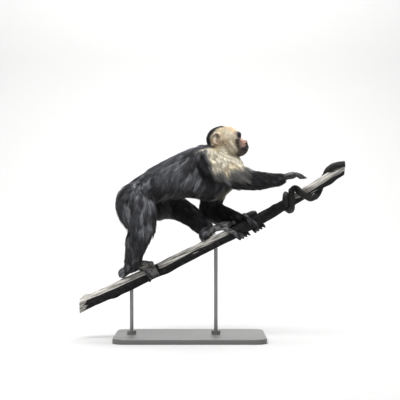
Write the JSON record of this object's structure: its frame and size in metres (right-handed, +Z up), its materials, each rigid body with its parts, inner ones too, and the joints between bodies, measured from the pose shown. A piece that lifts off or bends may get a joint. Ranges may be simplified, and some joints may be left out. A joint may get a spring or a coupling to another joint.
{
  "type": "white-faced capuchin monkey",
  "caption": "Life-size still model of a white-faced capuchin climbing a slanting branch, one hand reaching ahead, held up by a plain display stand.",
  "frame": {"origin": "centre of the stand base's underside, on the floor", "axes": "+X is the way the animal faces and the branch rises, +Y its left side, +Z up"},
  "size_m": [0.634, 0.292, 0.513],
  "materials": {
    "black_fur": "black fur with a grey sheen",
    "cream_fur": "cream fur",
    "dark_skin": "dark grey skin with short hair",
    "ear_skin": "pinkish brown skin",
    "eye": "wet dark brown",
    "weathered_wood": "weathered, unvarnished",
    "dark_vine": "dark bark",
    "stand_steel": "satin",
    "stand_lacquer": "board painted mid-grey"
  },
  "bodies": {
    "root": {"head": "cream_fur", "neck": "cream_fur", "chest": "black_fur", "belly": "black_fur", "eye_left": "eye", "ear_left": "ear_skin", "upper_arm_left": "black_fur", "forearm_left": "black_fur", "hand_left": "dark_skin", "thigh_left": "black_fur", "shank_left": "black_fur", "foot_left": "dark_skin", "eye_right": "eye", "ear_right": "ear_skin", "upper_arm_right": "cream_fur", "forearm_right": "black_fur", "hand_right": "dark_skin", "thigh_right": "black_fur", "shank_right": "black_fur", "foot_right": "dark_skin", "tail_1": "black_fur", "tail_2": "black_fur", "tail_3": "black_fur", "perch_branch": "weathered_wood", "perch_vine": "dark_vine", "stand_base": "stand_lacquer", "stand_rod_1": "stand_steel", "stand_rod_2": "stand_steel"}
  },
  "joints": []
}
